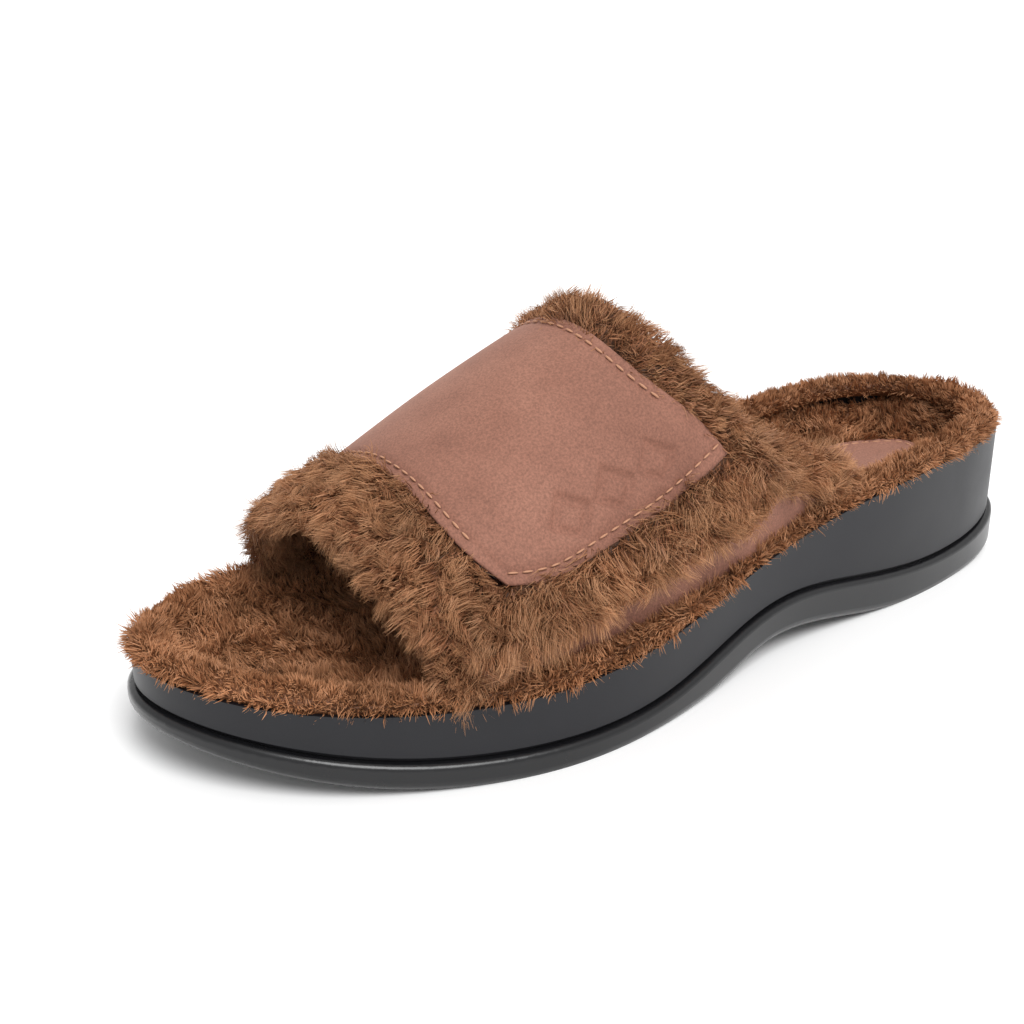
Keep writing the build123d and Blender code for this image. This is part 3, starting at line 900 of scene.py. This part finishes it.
def front_strip_edge(t):
    """The y of the lining's front edge, about two thirds of the way across the front cuff."""
    return front_edge(t) * 0.35 + edge_y(t, FUR_FRONT_LATERAL, FUR_FRONT_MEDIAL) * 0.65


def rear_strip_edge(t):
    """The y of the lining's rear edge, about two thirds of the way across the rear cuff."""
    return rear_edge(t) * 0.35 + edge_y(t, FUR_REAR_LATERAL, FUR_REAR_MEDIAL) * 0.65


def along_line(points, spacing):
    """Points and directions at equal spacings along a line."""
    steps = np.linalg.norm(np.diff(points, axis=0), axis=1)
    reach = np.concatenate([[0], np.cumsum(steps)])
    at = np.arange(spacing / 2, reach[-1], spacing)
    places = np.stack([np.interp(at, reach, points[:, i]) for i in range(3)], -1)
    ahead = np.stack([np.interp(at + 0.2, reach, points[:, i]) for i in range(3)], -1)
    way = ahead - places
    return places, way / np.maximum(np.linalg.norm(way, axis=1, keepdims=True), 1e-9)


class SLIPPER_OT_stitches(bpy.types.Operator):
    """Sew the rows of stitches along the leather's edges"""

    bl_idname = "slipper.stitches"
    bl_label = "Stitching"

    def execute(self, context):
        inset = sizes().seam_inset
        t = np.linspace(0.03, 0.72, 400)
        end_y = np.linspace(8, 68, 200)
        flap_t = np.linspace(0.7, 0.99, 200)
        thread_lift = 0.15
        rows = {
            "front_stitches": ("strap", on_upper(front_edge(t) - inset, t, thread_lift)),
            "rear_stitches": ("strap", on_upper(rear_edge(t) + inset, t, thread_lift)),
            "end_stitches": ("strap", on_upper(end_y, end_turn(end_y) - inset / GIRTH, thread_lift)),
            "flap_stitches": ("sole", on_upper(edge_y(flap_t, FLAP_REAR, FLAP_REAR) + 3, flap_t,
                                               FLAP_LIFT + 0.1)),
        }
        tree = surface_tree(bpy.data.objects["heel_patch_leather"])
        patch_inset = 2.2
        oval = []
        for angle in np.linspace(0, 2 * math.pi, 200):
            x = PATCH_CENTRE[0] + (PATCH_RADII[0] - patch_inset) * math.cos(angle)
            y = PATCH_CENTRE[1] + (PATCH_RADII[1] - patch_inset) * math.sin(angle)
            hit = tree.ray_cast(Vector((x, y, 80)) * MM, Vector((0, 0, -1)))[0]
            oval.append((x, y, hit.z / MM if hit else 26.0))
        rows["patch_stitches"] = ("sole", np.array(oval))
        thread = plain("polyester_thread", "#B48468", 0.6)
        for name, (body, line) in rows.items():
            self.sew(name, line, thread, body)
        return {"FINISHED"}

    def sew(self, name, line, thread, body):
        """One row: short rounded stitches with a small gap between them."""
        length, width, height = sizes().stitch_length, 0.62, 0.5
        places, ways = along_line(line, length * 1.3)
        bm = bmesh.new()
        for place, way in zip(places, ways):
            made = bmesh.ops.create_uvsphere(bm, u_segments=8, v_segments=6, radius=0.5)["verts"]
            turn = Vector((1, 0, 0)).rotation_difference(Vector(way)).to_matrix()
            for vert in made:
                local = Vector((vert.co.x * length, vert.co.y * width, vert.co.z * height))
                vert.co = (turn @ local + Vector(place)) * MM
        obj = finish_mesh(name, bm)
        obj.data.materials.append(thread)
        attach(obj, body)


class SLIPPER_OT_stage(bpy.types.Operator):
    """Set a pale floor, soft studio light and the camera"""

    bl_idname = "slipper.stage"
    bl_label = "Stage"

    def execute(self, context):
        bm = bmesh.new()
        bmesh.ops.create_grid(bm, x_segments=1, y_segments=1, size=60.0)
        floor = finish_mesh("floor", bm)
        material, tree, output = new_material("pale_floor")
        shader = add_node(tree, "ShaderNodeBsdfPrincipled", {
            "Base Color": linear("#F7F7F7"), "Roughness": 0.45, "Specular IOR Level": 0.3})
        tree.links.new(shader.outputs["BSDF"], output.inputs["Surface"])
        floor.data.materials.append(material)

        world = bpy.data.worlds.new("studio")
        bpy.context.scene.world = world
        world.use_nodes = True
        world.node_tree.nodes["Background"].inputs["Color"].default_value = linear("#FFFFFF")
        world.node_tree.nodes["Background"].inputs["Strength"].default_value = 0.72

        key = bpy.data.lights.new("key", "SUN")
        key.energy, key.angle = 2.6, math.radians(35)
        self.aimed("key", key, (0, 0, 0), (0.62, -0.1, -0.9))

        rear = bpy.data.lights.new("rear", "AREA")
        rear.shape, rear.size, rear.energy = "SQUARE", 0.8, 3.0
        self.aimed("rear", rear, (0.7, -0.7, 0.9), (-0.7, 0.7, -0.88))

        optics = bpy.data.cameras.new("camera")
        optics.lens, optics.sensor_width = 51.5, 36.0
        camera = self.aimed("camera", optics, (-0.2672, 0.2357, 0.1723), (0.7478, -0.5515, -0.3690))
        bpy.context.scene.camera = camera
        bpy.context.scene.view_settings.view_transform = "Standard"
        return {"FINISHED"}

    @staticmethod
    def aimed(name, data, place, direction):
        """A light or camera at a place, looking in a direction."""
        obj = bpy.data.objects.new(name, data)
        obj.location = place
        obj.rotation_euler = Vector(direction).to_track_quat("-Z", "Y").to_euler()
        bpy.context.collection.objects.link(obj)
        return obj


STEPS = (SLIPPER_OT_sole, SLIPPER_OT_footbed_cover, SLIPPER_OT_fleece_rim, SLIPPER_OT_heel_patch,
         SLIPPER_OT_leather, SLIPPER_OT_cuffs, SLIPPER_OT_linings, SLIPPER_OT_stitches, SLIPPER_OT_stage)


class SLIPPER_PT_panel(bpy.types.Panel):
    """Lists the slipper's pieces"""

    bl_label = "Slipper"
    bl_idname = "SLIPPER_PT_panel"
    bl_space_type = "VIEW_3D"
    bl_region_type = "UI"
    bl_category = "Slipper"

    def draw(self, context):
        settings = context.scene.slipper
        for name in settings.bl_rna.properties.keys():
            if name not in ("rna_type", "name"):
                self.layout.prop(settings, name)
        for step in STEPS:
            self.layout.operator(step.bl_idname)


CLASSES = (SlipperSettings, *STEPS, SLIPPER_PT_panel)


def register():
    for item in CLASSES:
        bpy.utils.register_class(item)
    bpy.types.Scene.slipper = bpy.props.PointerProperty(type=SlipperSettings)


def unregister():
    del bpy.types.Scene.slipper
    for item in reversed(CLASSES):
        bpy.utils.unregister_class(item)


def main():
    register()
    for step in STEPS:
        group, name = step.bl_idname.split(".")
        getattr(getattr(bpy.ops, group), name)()


if __name__ == "__main__":
    main()
